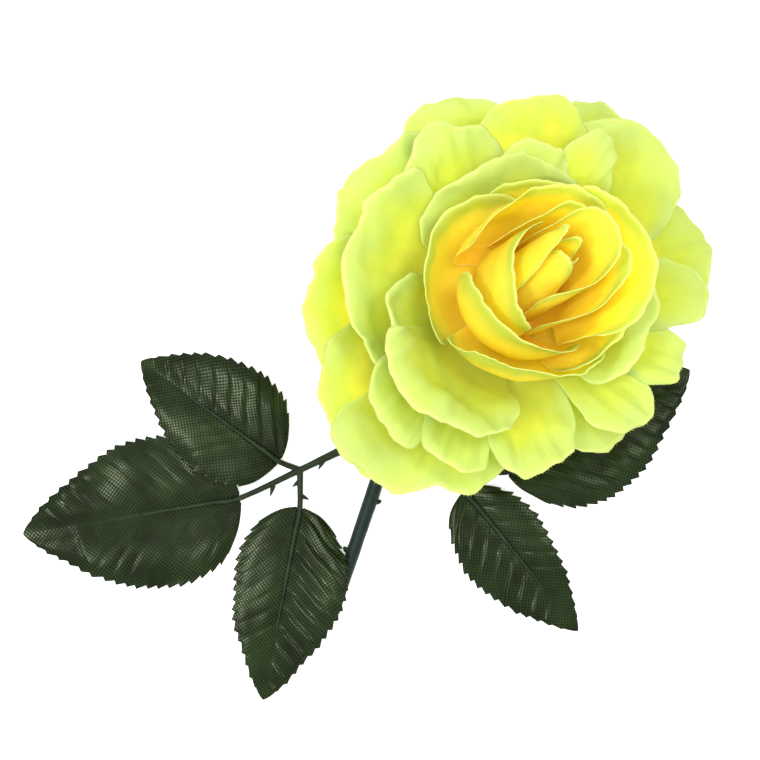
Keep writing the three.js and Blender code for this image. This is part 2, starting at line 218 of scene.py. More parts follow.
materials = {
    "petal": petalCloth("dyedPetalCloth", petalLook),
    "leaf": leafSatin("wovenLeafSatin", leafLook),
    "sprig": mouldedPlastic("mouldedSprigPlastic", plasticLook["sprig"]),
    "stem": mouldedPlastic("mouldedStemPlastic", plasticLook["stem"]),
    "core": mouldedPlastic("mouldedCorePlastic", plasticLook["core"]),
    "wire": drawnSteel("drawnSteelWire"),
}
print("materials made")


# one mesh of several cloth pieces, each a grid of points in layout mm with its place in the flat cut
def clothMesh(name, pieces):
    points, faces, cuts, values, first = [], [], [], {}, 0
    for piece in pieces:
        rows, cols, _ = piece["points"].shape
        points.append((piece["points"].reshape(-1, 3) - boxMiddle) * mm)
        i, j = np.meshgrid(np.arange(rows - 1), np.arange(cols - 1), indexing="ij")
        a = (first + i * cols + j).ravel()
        faces.append(np.stack([a, a + 1, a + cols + 1, a + cols], 1))
        cuts.append(piece["cut"].reshape(-1, 2) * mm)
        for key, value in piece["values"].items():
            values.setdefault(key, []).append(np.asarray(value, float).reshape(rows * cols, -1))
        first += rows * cols
    points, faces, cuts = np.concatenate(points), np.concatenate(faces), np.concatenate(cuts)
    mesh = bpy.data.meshes.new(name)
    mesh.from_pydata(points.tolist(), [], faces.tolist())
    mesh.uv_layers.new(name="cut").data.foreach_set("uv", cuts[faces.ravel()].ravel().astype(np.float32))
    for key, parts in values.items():
        parts = np.concatenate(parts)
        single = parts.shape[1] == 1
        store = mesh.attributes.new(key, "FLOAT" if single else "FLOAT_VECTOR", "POINT")
        store.data.foreach_set("value" if single else "vector", parts.ravel().astype(np.float32))
    thing = bpy.data.objects.new(name, mesh)
    bpy.context.scene.collection.objects.link(thing)
    return thing


# runs a geometry tree on an object and keeps the result as a plain mesh
def bake(thing, tree, settings):
    modifier = thing.modifiers.new(tree.name, "NODES")
    modifier.node_group = tree
    sockets = {s.name: s.identifier for s in tree.interface.items_tree if s.in_out == "INPUT"}
    for key, value in settings.items():
        modifier[sockets[key]] = value
    mesh = bpy.data.meshes.new_from_object(thing.evaluated_get(bpy.context.evaluated_depsgraph_get()))
    name = thing.name
    bpy.data.objects.remove(thing)
    mesh.name = name
    result = bpy.data.objects.new(name, mesh)
    bpy.context.scene.collection.objects.link(result)
    return result


def newTree(name, inputs):
    tree = bpy.data.node_groups.new(name, "GeometryNodeTree")
    tree.interface.new_socket("Geometry", in_out="INPUT", socket_type="NodeSocketGeometry")
    for label, kind in inputs.items():
        tree.interface.new_socket(label, in_out="INPUT", socket_type="NodeSocket" + kind)
    tree.interface.new_socket("Geometry", in_out="OUTPUT", socket_type="NodeSocketGeometry")
    return tree, tree.nodes.new("NodeGroupInput").outputs


def endTree(tree, geometry, material):
    real = addNode(tree, "GeometryNodeRealizeInstances", {"Geometry": geometry})
    painted = addNode(tree, "GeometryNodeSetMaterial", {"Geometry": real.outputs[0], "Material": material})
    addNode(tree, "NodeGroupOutput", {"Geometry": painted.outputs[0]})


# what would sink into the table lies flat on it instead
def keepAbove(tree, geometry, level):
    place = addNode(tree, "GeometryNodeInputPosition")
    parts = addNode(tree, "ShaderNodeSeparateXYZ", {0: place.outputs[0]})
    height = addNode(tree, "ShaderNodeMath", {0: parts.outputs[2], 1: level}, operation="MAXIMUM")
    lifted = addNode(tree, "ShaderNodeCombineXYZ", {0: parts.outputs[0], 1: parts.outputs[1],
                     2: height.outputs[0]})
    return addNode(tree, "GeometryNodeSetPosition", {"Geometry": geometry, "Position": lifted.outputs[0]})


# cloth with soft waves in it, a real thickness, and cut threads that stand out along its edges
def pressedClothTree():
    tree, given = newTree("pressedCloth", {
        "Wave Height": "Float", "Wave Width": "Float", "Thickness": "Float", "Thread Spacing": "Float",
        "Thread Length": "Float", "Thread Radius": "Float", "Seed": "Int", "Material": "Material",
        "Flute Height": "Float", "Flutes": "Float", "Flute Drift": "Float", "Flute Centre": "Vector",
        "Cloth Level": "Float", "Thread Level": "Float"})
    # one field of waves for all cloth, so that neighbours never cross
    frequency = addNode(tree, "ShaderNodeMath", {0: 1.0, 1: given["Wave Width"]}, operation="DIVIDE")
    noise = addNode(tree, "ShaderNodeTexNoise", {"Scale": frequency.outputs[0], "Detail": 1.0,
                    "Roughness": 0.4})
    centred = addNode(tree, "ShaderNodeVectorMath", {0: noise.outputs["Color"], 1: (-0.5, -0.5, -0.5)},
                      operation="ADD")
    loose = addNode(tree, "GeometryNodeInputNamedAttribute", {"Name": "loose"}, data_type="FLOAT")
    height = addNode(tree, "ShaderNodeMath", {0: given["Wave Height"], 1: loose.outputs[0]},
                     operation="MULTIPLY")
    shift = addNode(tree, "ShaderNodeVectorMath", {0: centred.outputs[0], "Scale": height.outputs[0]},
                    operation="SCALE")
    waved = addNode(tree, "GeometryNodeSetPosition", {"Geometry": given["Geometry"],
                    "Offset": shift.outputs[0]})
    # flutes run outwards from the flower's middle and deepen towards the rims
    place = addNode(tree, "GeometryNodeInputPosition")
    arm = addNode(tree, "ShaderNodeVectorMath", {0: place.outputs[0], 1: given["Flute Centre"]},
                  operation="SUBTRACT")
    level = addNode(tree, "ShaderNodeVectorMath", {0: arm.outputs[0], 1: (1.0, 1.0, 0.0)},
                    operation="MULTIPLY")
    heading = addNode(tree, "ShaderNodeVectorMath", {0: level.outputs[0]}, operation="NORMALIZE")
    ray = addNode(tree, "ShaderNodeVectorMath", {0: heading.outputs[0], "Scale": given["Flutes"]},
                  operation="SCALE")
    drift = addNode(tree, "ShaderNodeVectorMath", {0: arm.outputs[0], "Scale": given["Flute Drift"]},
                    operation="SCALE")
    fluteAt = addNode(tree, "ShaderNodeVectorMath", {0: ray.outputs[0], 1: drift.outputs[0]},
                      operation="ADD")
    fluteNoise = addNode(tree, "ShaderNodeTexNoise", {"Vector": fluteAt.outputs[0], "Scale": 1.0,
                         "Detail": 1.5})
    flare = addNode(tree, "GeometryNodeInputNamedAttribute", {"Name": "flare"}, data_type="FLOAT")
    depth = addNode(tree, "ShaderNodeMath", {0: fluteNoise.outputs["Fac"], 1: -0.5}, operation="ADD")
    depth = addNode(tree, "ShaderNodeMath", {0: depth.outputs[0], 1: flare.outputs[0]}, operation="MULTIPLY")
    depth = addNode(tree, "ShaderNodeMath", {0: depth.outputs[0], 1: given["Flute Height"]},
                    operation="MULTIPLY")
    face = addNode(tree, "GeometryNodeInputNormal")
    push = addNode(tree, "ShaderNodeVectorMath", {0: face.outputs[0], "Scale": depth.outputs[0]},
                   operation="SCALE")
    waved = addNode(tree, "GeometryNodeSetPosition", {"Geometry": waved.outputs[0],
                    "Offset": push.outputs[0]})
    waved = keepAbove(tree, waved.outputs[0], given["Cloth Level"])
    # the pushed-out face with its sides, and the first face turned over
    front = addNode(tree, "GeometryNodeExtrudeMesh", {"Mesh": waved.outputs[0],
                    "Offset Scale": given["Thickness"], "Individual": False})
    back = addNode(tree, "GeometryNodeFlipFaces", {"Mesh": waved.outputs[0]})
    faces = addNode(tree, "GeometryNodeJoinGeometry", {0: (front.outputs[0], back.outputs[0])})
    closed = addNode(tree, "GeometryNodeMergeByDistance", {"Geometry": faces.outputs[0], "Distance": 1e-6})
    soft = addNode(tree, "GeometryNodeSetShadeSmooth", {"Geometry": closed.outputs[0]})
    # cut threads along the open edges
    sides = addNode(tree, "GeometryNodeInputMeshEdgeNeighbors")
    single = addNode(tree, "FunctionNodeCompare", {2: sides.outputs[0], 3: 1}, data_type="INT",
                     operation="EQUAL")
    outer = addNode(tree, "GeometryNodeInputNamedAttribute", {"Name": "edge"}, data_type="FLOAT")
    onEdge = addNode(tree, "FunctionNodeCompare", {0: outer.outputs[0], 1: 0.5}, data_type="FLOAT",
                     operation="GREATER_THAN")
    both = addNode(tree, "FunctionNodeBooleanMath", {0: single.outputs[0], 1: onEdge.outputs[0]},
                   operation="AND")
    line = addNode(tree, "GeometryNodeMeshToCurve", {"Mesh": waved.outputs[0], "Selection": both.outputs[0]})
    spots = addNode(tree, "GeometryNodeResampleCurve", {"Curve": line.outputs[0],
                    "Length": given["Thread Spacing"]}, mode="LENGTH")
    outward = addNode(tree, "GeometryNodeInputNamedAttribute", {"Name": "outward"}, data_type="FLOAT_VECTOR")
    stray = addNode(tree, "FunctionNodeRandomValue", {0: (-1.0, -1.0, -1.0), 1: (1.0, 1.0, 1.0),
                    "Seed": given["Seed"]}, data_type="FLOAT_VECTOR")
    aim = addNode(tree, "ShaderNodeVectorMath", {0: outward.outputs[0], 1: stray.outputs[0]},
                  operation="ADD")
    turned = addNode(tree, "FunctionNodeAlignRotationToVector", {"Vector": aim.outputs[0]}, axis="Z")
    reach = addNode(tree, "FunctionNodeRandomValue", {2: 0.25, 3: 1.0, "Seed": given["Seed"]},
                    data_type="FLOAT")
    size = addNode(tree, "ShaderNodeCombineXYZ", {0: 1.0, 1: 1.0, 2: reach.outputs[1]})
    thread = addNode(tree, "GeometryNodeMeshCone", {"Vertices": 3, "Radius Top": 0.0, "Fill Segments": 1,
                     "Radius Bottom": given["Thread Radius"], "Depth": given["Thread Length"]})
    threads = addNode(tree, "GeometryNodeInstanceOnPoints", {"Points": spots.outputs[0],
                      "Instance": thread.outputs[0], "Rotation": turned.outputs[0],
                      "Scale": size.outputs[0]})
    threads = addNode(tree, "GeometryNodeRealizeInstances", {"Geometry": threads.outputs[0]})
    threads = keepAbove(tree, threads.outputs[0], given["Thread Level"])
    whole = addNode(tree, "GeometryNodeJoinGeometry", {0: (soft.outputs[0], threads.outputs[0])})
    endTree(tree, whole.outputs[0], given["Material"])
    return tree


# round rods that follow curves, each with the radius of its points
def sweptRodTree():
    tree, given = newTree("sweptRod", {"Sides": "Int", "Lump Height": "Float", "Lump Width": "Float",
                          "Material": "Material"})
    ring = addNode(tree, "GeometryNodeCurvePrimitiveCircle", {"Resolution": given["Sides"], "Radius": 1.0})
    radius = addNode(tree, "GeometryNodeInputRadius")
    tube = addNode(tree, "GeometryNodeCurveToMesh", {"Curve": given["Geometry"],
                   "Profile Curve": ring.outputs[0], "Scale": radius.outputs[0], "Fill Caps": True})
    frequency = addNode(tree, "ShaderNodeMath", {0: 1.0, 1: given["Lump Width"]}, operation="DIVIDE")
    noise = addNode(tree, "ShaderNodeTexNoise", {"Scale": frequency.outputs[0], "Detail": 2.0})
    centred = addNode(tree, "ShaderNodeVectorMath", {0: noise.outputs["Color"], 1: (-0.5, -0.5, -0.5)},
                      operation="ADD")
    shift = addNode(tree, "ShaderNodeVectorMath", {0: centred.outputs[0], "Scale": given["Lump Height"]},
                    operation="SCALE")
    lumpy = addNode(tree, "GeometryNodeSetPosition", {"Geometry": tube.outputs[0],
                    "Offset": shift.outputs[0]})
    soft = addNode(tree, "GeometryNodeSetShadeSmooth", {"Geometry": lumpy.outputs[0]})
    endTree(tree, soft.outputs[0], given["Material"])
    return tree


pressedCloth, sweptRod = pressedClothTree(), sweptRodTree()


# the head's axis leans, and its upper part bends over further
head = {"place": (33.2, 21.0, 25.55), "lean": 15, "toward": 38, "bend": 24, "bendOver": 45}


def inHead(points, spec=head):
    x, y, h = np.moveaxis(np.asarray(points, float), -1, 0)
    cx, cy = math.cos(math.radians(spec["toward"])), math.sin(math.radians(spec["toward"]))
    k = math.radians(spec["bend"]) / spec["bendOver"]
    turn = k * np.maximum(h, 0)
    u, v = x * cx + y * cy, y * cx - x * cy
    bu = (1 - np.cos(turn)) / k + u * np.cos(turn)
    bh = np.sin(turn) / k - u * np.sin(turn) + np.minimum(h, 0)
    c, s = math.cos(math.radians(spec["lean"])), math.sin(math.radians(spec["lean"]))
    lu = bu * c + bh * s
    return np.stack([spec["place"][0] + lu * cx - v * cy, spec["place"][1] + lu * cy + v * cx,
                     spec["place"][2] + bh * c - bu * s], -1)


# petal layers from the inside out. A petal leaves the hub at start degrees from the axis, runs straight for
# claw, turns with radius rho to open degrees and rolls out from rollFrom on. over lifts its overlapping
# edge. The layer opens swing degrees further on its toward side, and bump degrees further round bumpAt
layers = [
    {"h": 9.9, "start": 74, "claw": 0, "rho": 7, "open": -9, "over": 0.012},
    {"h": 8.4, "start": 70, "claw": 2, "rho": 8, "open": -1, "swing": 6, "over": 0.01},
    {"h": 7.0, "start": 74, "claw": 4.5, "rho": 9.5, "open": 1, "swing": 7, "toward": -10, "over": 0.014},
    {"h": 5.6, "start": 78, "claw": 8, "rho": 11.5, "open": 4, "swing": 9, "over": 0.016, "roll": 8,
     "rollFrom": 34},
    {"h": 4.2, "start": 82, "claw": 12, "rho": 13.5, "open": 6, "swing": 10, "toward": 30, "over": 0.018,
     "roll": 8, "rollFrom": 34, "bump": 36, "bumpAt": 158, "bumpHalf": 78},
    {"h": 2.8, "start": 86, "claw": 14, "rho": 17, "open": 41, "swing": 13, "toward": 210, "over": 0.028,
     "roll": 20, "rollFrom": 36},
    {"h": 1.4, "start": 90, "claw": 16, "rho": 20, "open": 66, "swing": 5, "toward": 320, "over": 0.03,
     "roll": 20, "rollFrom": 40},
    {"h": 0, "start": 94, "claw": 18, "rho": 24, "open": 86, "swing": 9, "toward": 48, "over": 0.03,
     "roll": 12, "rollFrom": 42},
]
# each petal: azimuth, half width in degrees, length in mm, how much longer its far edge is, and how round
# its tip is
petals = [
    [[215, 88, 38, 0.04, 0.16], [62, 76, 41, 0, 0.3], [322, 50, 37, 0, 0.3]],
    [[7, 106, 46, 0.16, 0.34], [160, 56, 48, -0.03, 0.38]],
    [[180, 79, 36, -0.16, 0.1], [340, 65, 46, 0.15, 0.4], [73, 58, 46, 0.01, 0.28]],
    [[243, 69, 34, 0, 0.18], [4, 63, 51, 0.02, 0.1], [95, 61, 44, -0.15, 0.1]],
    [[270, 56, 38, 0.1, 0.23], [145, 72, 32, -0.02, 0.21], [345, 52, 41, 0, 0.25], [55, 52, 41, 0, 0.25]],
    [[102, 48, 40, -0.16, 0.18], [194, 26, 41, 0.09, 0.33], [234, 34, 49, -0.11, 0.18],
     [59, 14, 56, 0.06, 0.28], [80, 20, 47, -0.01, 0.27], [350, 40, 44, 0, 0.25]],
    [[115, 26, 51, -0.02, 0.27], [175, 46, 48, -0.01, 0.1], [83, 23, 57, -0.09, 0.19], [47, 25, 64, 0, 0.33],
     [3, 15, 57, -0.01, 0.33], [340, 14, 52, 0.02, 0.3], [316, 14, 49, 0.07, 0.17],
     [281, 22, 48, -0.16, 0.23], [247, 14, 52, 0, 0.14], [222, 14, 54, 0.07, 0.1]],
    [[101, 28, 57, 0, 0.28], [60, 15, 67, 0, 0.29], [19, 22, 63, 0.03, 0.27], [311, 26, 47, 0.06, 0.25],
     [243, 29, 58, -0.16, 0.1], [215, 27, 60, 0.11, 0.2], [183, 31, 54, 0.06, 0.21],
     [137, 36, 52, -0.01, 0.21]],
]
# lengths in mm; lists have one value for each layer
petalCut = {
    "inner": 2.2, "rows": 44, "cols": 44, "steps": 48, "thick": 0.2, "corner": 0.05, "clawShare": 0.42,
    "waveHeight": 7.0, "waveWidth": 15, "clothLevel": 0.4, "threadLevel": 0.1, "fluteDrift": 22.0,
    "threadSpacing": 1.1, "threadLength": 0.9, "threadRadius": 0.045, "fluteHeight": 4.5, "flutes": 9.0,
    "wobble": ((0.55, 0.33), (0.3, 0.91)),
    "dyeFrom": [6, 6, 6, 6, 6, 4, 4, 4], "dyeDeep": [0.2, 0.19, 0.19, 0.19, 0.23, 0.72, 0.7, 0.68],
    "dyeRim": [10, 12, 12, 12, 13, 15, 17, 17], "dyeTop": [0.72, 0.75, 0.77, 0.8, 0.88, 1, 1, 1],
    "curl": [0, 0, 0, 10, 20, 35, 30, 20], "curlMm": 3.0, "leastShare": 0.31, "seed": 3,
    "yellower": {(7, 183): 0.12, (7, 215): 0.12, (6, 83): 0.1},  # by layer and azimuth
}


def petalSurface(number, petal, spec=petalCut):
    layer, (azimuth, half, length, skew, tip) = layers[number], petal
    b = np.linspace(0, 1, spec["rows"])[:, None, None]
    spread = np.linspace(-math.pi / 2, math.pi / 2, spec["cols"]) * 0.98  # closer together at the edges
    a = np.sin(spread)[None, :, None] / math.sin(0.49 * math.pi)
    claw = spec["clawShare"]
    across = half * (claw + (1 - claw) * smooth((b - 0.1) / 0.45)) * a
    rim = length * (1 - tip * np.abs(a) ** 2.6 - spec["corner"] * np.abs(a) ** 14) * (1 + skew * a)
    theta = azimuth + across
    opened = layer["open"] + layer.get("swing", 0) * np.cos(np.radians(theta - layer.get("toward", 0)))
    if "bump" in layer:
        off = (theta - layer["bumpAt"] + 540) % 360 - 180
        opened = opened + np.where(np.abs(off) < layer["bumpHalf"],
                                   layer["bump"] * np.cos(math.pi / 2 * off / layer["bumpHalf"]) ** 2, 0)
    for size, rate in spec["wobble"]:  # scissors never follow a perfect curve
        rim = rim + size * (0.25 + 0.11 * number) * np.sin(rate * theta + 1.7 * azimuth)
    run = b * rim
    s = run * (np.arange(spec["steps"]) + 0.5) / spec["steps"]

    def slope(s):
        turned = layer["start"] - np.degrees((s - layer["claw"]) / layer["rho"])
        turned = np.clip(turned, opened, layer["start"])
        roll = layer.get("roll", 0) * np.clip((s - layer.get("rollFrom", 0)) / 14, 0, 2) ** 1.3
        curl = spec["curl"][number] * np.clip((s - rim + spec["curlMm"]) / spec["curlMm"], 0, 1) ** 1.5
        return np.radians(turned + roll + curl)

    angles = slope(s)
    r = spec["inner"] + (np.sin(angles) * run / spec["steps"]).sum(-1)
    h = layer["h"] + (np.cos(angles) * run / spec["steps"]).sum(-1)
    last = slope(run)[..., 0]
    lift = (layer["over"] * across * np.clip((run - 3) / 9, 0, 1))[..., 0]
    r, h = r + lift * np.cos(last), h - lift * np.sin(last)
    turn = np.radians(theta[..., 0])
    points = inHead(np.stack([r * np.cos(turn), r * np.sin(turn), h], -1))
    run, gap = run[..., 0], (rim - run)[..., 0]
    yellower = spec["yellower"].get((number, azimuth), 0)
    deep, top = spec["dyeDeep"][number] - yellower, spec["dyeTop"][number] - yellower
    side = np.abs(a[..., 0]) * np.ones_like(run)
    sideGap = (1 - side) * half * 0.0175 * np.maximum(r, 6)
    along = unit(np.gradient(points, axis=0))
    sideways = unit(np.gradient(points, axis=1)) * np.sign(a)
    nearRim = (gap < sideGap)[..., None]
    return {
        "points": points, "cut": np.stack([np.radians(across[..., 0]) * np.maximum(r, 4), run], -1),
        "values": {
            "dye": deep * smooth((run - spec["dyeFrom"][number]) / 16)
            + (top - deep) * smooth(1 - gap / spec["dyeRim"][number]),
            "rimGap": np.minimum(gap, 4 * sideGap), "flare": smooth((run - 22) / 26) * (number > 3),
            "loose": smooth((run - 10) / 30) * (0.35 + 0.65 * min(number / 5, 1)),
            "edge": (run > 0.4 * length).astype(float), "outward": np.where(nearRim, along, sideways)},
    }


for number, row in enumerate(petals):
    pieces = [petalSurface(number, petal) for petal in row]
    layer = clothMesh(f"petals{number + 1}", pieces)
    layer = bake(layer, pressedCloth, {
        "Wave Height": petalCut["waveHeight"] * mm, "Wave Width": petalCut["waveWidth"] * mm,
        "Thickness": petalCut["thick"] * mm, "Thread Spacing": petalCut["threadSpacing"] * mm,
        "Thread Length": petalCut["threadLength"] * mm, "Thread Radius": petalCut["threadRadius"] * mm,
        "Seed": petalCut["seed"] + number, "Material": materials["petal"],
        "Flute Height": petalCut["fluteHeight"] * mm,
        "Flutes": petalCut["flutes"], "Flute Drift": petalCut["fluteDrift"],
        "Flute Centre": ((np.array(head["place"]) - boxMiddle) * mm).tolist(),
        "Cloth Level": petalCut["clothLevel"] * mm, "Thread Level": petalCut["threadLevel"] * mm})
    # a layer is a star cut from a square; the two narrowest fill less of it than a sheet may, so they are
    # declared narrower
    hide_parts(f"petal_layer_{number + 1}")
    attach(layer, "root")


# leaves: base and tip in plan, half widths, heights at base, middle and tip, how the edges stand and drop,
# and which half has pressed pleats, how deep; all in mm
leaves = {
    "left_side_leaf": {"from": (-28.4, -22.8), "to": (-67.2, 5.3), "left": 16.5, "right": 18,
                       "z": (3.4, 4.4, 0.6), "tip": 0, "drop": 1.2, "pleats": (-1, 0.4)},
    "left_end_leaf": {"from": (-39.4, -33.2), "to": (-100.4, -43.3), "left": 22, "right": 22,
                      "z": (2.6, 2.4, 0.5), "tip": 0, "drop": 1.2,
                      "crease": ((-78.6, -57.6), (-89.9, -32.3)), "creaseRise": 2.8, "pleats": (-1, 0.1)},
    "left_low_leaf": {"from": (-22.5, -36), "to": (-32.9, -90), "left": 17.7, "right": 15.5,
                      "z": (3, 3.8, 0.6), "tip": 2.2, "drop": 0.5, "pleats": (1, 0.8)},
    "right_side_leaf": {"from": (23.9, -31.2), "to": (55.7, -70.6), "left": 11.5, "right": 15,
                        "z": (2.8, 3.4, 0.6), "tip": 1.2, "drop": 0.5, "pleats": (-1, 0.6)},
    "right_end_leaf": {"from": (35.7, -25.9), "to": (87.2, 2.8), "left": 18, "right": 21,
                       "z": (2.6, 2.4, 0.5), "tip": 0, "drop": 1.2, "pleats": (-1, 0.7)},
    "right_top_leaf": {"from": (22.6, -20.4), "to": (61, 3), "left": 13, "right": 13,
                       "z": (4.6, 7, 6), "tip": 0, "drop": 0.8, "pleats": (1, 0.4)},
}
leafCut = {"toothMm": 2.9, "toothDeep": 1.3, "perTooth": 8, "cols": 27, "thick": 0.25, "veinMm": 5.4,
           "veinDeep": 0.22, "veinSlant": 0.8, "ribDeep": 0.5, "foldRise": 0.12, "waveHeight": 3.2,
           "waveWidth": 17, "threadSpacing": 1.6, "threadLength": 0.7, "threadRadius": 0.05,
           "clothLevel": 0.4, "threadLevel": 0.1, "lowest": 0.35, "seed": 40}


def leafPoint(leaf, t, s, cut=0.0):
    base, tip = np.array(leaf["from"]), np.array(leaf["to"])
    along = unit(tip - base)
    wide = np.where(s > 0, leaf["left"], leaf["right"]) * np.maximum(
        np.sin(math.pi * t ** 0.68) ** 0.75, 0.06 * (1 - t) + 0.015)
    off = s * np.maximum(wide - cut * np.minimum(1, 4 * wide / leaf["left"]), 0.2)
    plan = base + (tip - base) * t[..., None] + np.array([-along[1], along[0]]) * off[..., None]
    z0, z1, z2 = leaf["z"]
    mid = z0 * (1 - t) * (1 - 2 * t) + 4 * z1 * t * (1 - t) + z2 * t * (2 * t - 1)
    z = mid + leaf["tip"] * off / leaf["left"] * np.sin(math.pi * np.clip(t + 0.1, 0, 1)) \
        - leaf["drop"] * (off / leaf["left"]) ** 2
    return np.concatenate([plan, z[..., None]], -1), off


def leafSurface(leaf, spec=leafCut):
    length = float(np.linalg.norm(np.array(leaf["to"]) - np.array(leaf["from"])))
    teeth = round(length / spec["toothMm"])
    t = np.linspace(0, 1, teeth * spec["perTooth"] + 1)[:, None]
    s = np.linspace(-1, 1, 2 * spec["cols"] + 1)[None, :]
    t, s = np.broadcast_arrays(t, s)
    saw = 1 - (t * teeth) % 1  # each tooth points towards the tip
    cut = spec["toothDeep"] * saw * smooth((t - 0.06) / 0.1) * np.abs(s) ** 10
    points, off = leafPoint(leaf, t, s, cut)
    # cloth puffs up between the side veins and is pressed down along the midrib
    vein = (t * length - spec["veinSlant"] * np.abs(off)) / spec["veinMm"]
    fade = smooth(np.abs(off) / 3) * smooth((1 - np.abs(s)) / 0.25) * smooth((1 - t) / 0.15)
    # the press bit unevenly
    patchy = 0.5 + 0.5 * np.sin(0.21 * points[..., 0] + 1.3) * np.sin(0.17 * points[..., 1] + 0.4)
    phase = vein % 1
    puff = spec["veinDeep"] * (1 - np.abs(2 * phase - 1) ** 3) * fade * (0.15 + 1.5 * patchy ** 2)
    side, depth = leaf["pleats"]  # pressed pleats show on one half of the leaf
    puff = puff + depth * (1 - phase) ** 1.6 * smooth(phase / 0.2) * fade * (s * side > 0)
    fold = np.abs(off) * smooth(np.abs(off) / 4) * (1 - smooth((np.abs(s) - 0.6) / 0.4) * 0.5)
    puff = puff + spec["foldRise"] * fold
    if "crease" in leaf:  # the tip is folded down past a line across the leaf
        (px, py), (qx, qy) = leaf["crease"]
        past = unit(np.array([py - qy, qx - px]))
        beyond = (points[..., 0] - px) * past[0] + (points[..., 1] - py) * past[1]
        puff = puff + leaf["creaseRise"] * np.exp(-np.sqrt(beyond ** 2 + 2) / np.where(beyond > 0, 9, 14))
    groove = spec["ribDeep"] * np.exp(-(off / 0.7) ** 2) * (1 - t)
    points = points + (puff - groove)[..., None] * np.array([0, 0, 1])
    points[..., 2] = np.maximum(points[..., 2], spec["lowest"])
    outward = unit(points - points[:, spec["cols"]:spec["cols"] + 1])
    return {"points": points, "cut": np.stack([off, t * length], -1),
            "values": {"loose": smooth((np.abs(off) - 2) / 10), "edge": (t > 0.04).astype(float),
                       "outward": outward}}


for name, leaf in leaves.items():
    surface = leafSurface(leaf)
    surface["points"] = surface["points"][:, ::-1]
    surface["cut"] = surface["cut"][:, ::-1]
    surface["values"] = {k: v[:, ::-1] for k, v in surface["values"].items()}
    blade = bake(clothMesh(name.replace("_", "-") + "-blade", [surface]), pressedCloth, {
        "Wave Height": leafCut["waveHeight"] * mm, "Wave Width": leafCut["waveWidth"] * mm,
        "Thickness": leafCut["thick"] * mm, "Thread Spacing": leafCut["threadSpacing"] * mm,
        "Thread Length": leafCut["threadLength"] * mm, "Thread Radius": leafCut["threadRadius"] * mm,
        "Cloth Level": leafCut["clothLevel"] * mm, "Thread Level": leafCut["threadLevel"] * mm,
        "Seed": leafCut["seed"], "Material": materials["leaf"]})
    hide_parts(name)
    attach(blade, "root")
print("leaves made")


# rods: lists of (points, radii) in layout mm, each a smooth curve
def rodObject(name, rods, material, sides=14, lumpHeight=0.15, lumpWidth=3):
    curve = bpy.data.curves.new(name, "CURVE")
    curve.dimensions = "3D"
    for points, radii in rods:
        points = np.asarray(points, float)
        radii = np.broadcast_to(np.asarray(radii, float), (len(points),))
        spline = curve.splines.new("POLY")
        count = 12 * (len(points) - 1) + 1
        t = np.linspace(0, len(points) - 1, count)
        i = np.clip(t.astype(int), 0, len(points) - 2)
        f = (t - i)[:, None]
        p = np.concatenate([[2 * points[0] - points[1]], points, [2 * points[-1] - points[-2]]])
        p0, p1, p2, p3 = p[i], p[i + 1], p[i + 2], p[i + 3]
        line = 0.5 * (2 * p1 + (p2 - p0) * f + (2 * p0 - 5 * p1 + 4 * p2 - p3) * f ** 2
                      + (3 * p1 - p0 - 3 * p2 + p3) * f ** 3)
        line = (line - boxMiddle) * mm
        spline.points.add(count - 1)
        spline.points.foreach_set("co", np.concatenate([line, np.ones((count, 1))], 1).ravel())
        spline.points.foreach_set("radius", np.interp(t, np.arange(len(points)), radii) * mm)
    thing = bpy.data.objects.new(name, curve)
    bpy.context.scene.collection.objects.link(thing)
    return bake(thing, sweptRod, {"Sides": sides, "Lump Height": lumpHeight * mm,
                                  "Lump Width": lumpWidth * mm, "Material": material})


# radii and places in plan; thorns by place along the lying part and side
stemSizes = {"end": 1.85, "neck": 2.1, "fork": (4.5, -12.4), "cut": (-13.2, -65.2),
             "thorns": ((0.32, 1), (0.78, 1), (0.6, -1)), "thornRadii": [1.5, 0.9, 0.25],
             "stubAt": (4, 8.5), "stubRadii": [1.7, 1.4, 1.25]}
calyxSizes = {"floor": -4.4, "bottom": -11}  # heights on the head's axis
fork = np.array([*stemSizes["fork"], stemSizes["neck"]])
cutEnd = np.array([*stemSizes["cut"], stemSizes["end"]])
alongStem = unit(fork - cutEnd)
collar, neck = inHead([0, 0, calyxSizes["bottom"] - 1]), inHead([0, 0, calyxSizes["floor"] - 2.9])
towardHead = unit(inHead([0, 0, -1]) - inHead([0, 0, -2]))


def bezier(a, b, c, d, n):
    t = np.linspace(0, 1, n + 1)[:, None]
    return (1 - t) ** 3 * a + 3 * (1 - t) ** 2 * t * b + 3 * (1 - t) * t * t * c + t ** 3 * d


lying = cutEnd + (fork - cutEnd) * np.linspace(0, 1, 5)[:, None]
rising = bezier(fork, fork + alongStem * 20, collar - towardHead * 11, collar, 8)
stemLine = np.concatenate([lying, rising[1:], [neck]])
swelling = (stemSizes["neck"] - stemSizes["end"]) * np.clip(np.arange(len(stemLine)) / 4, 0, 1)
stemRadii = stemSizes["end"] + swelling
joints = {"left_sprig": np.array([-22.5, -25.3, 2.3]), "right_sprig": np.array([23.3, -25.3, 2.3])}
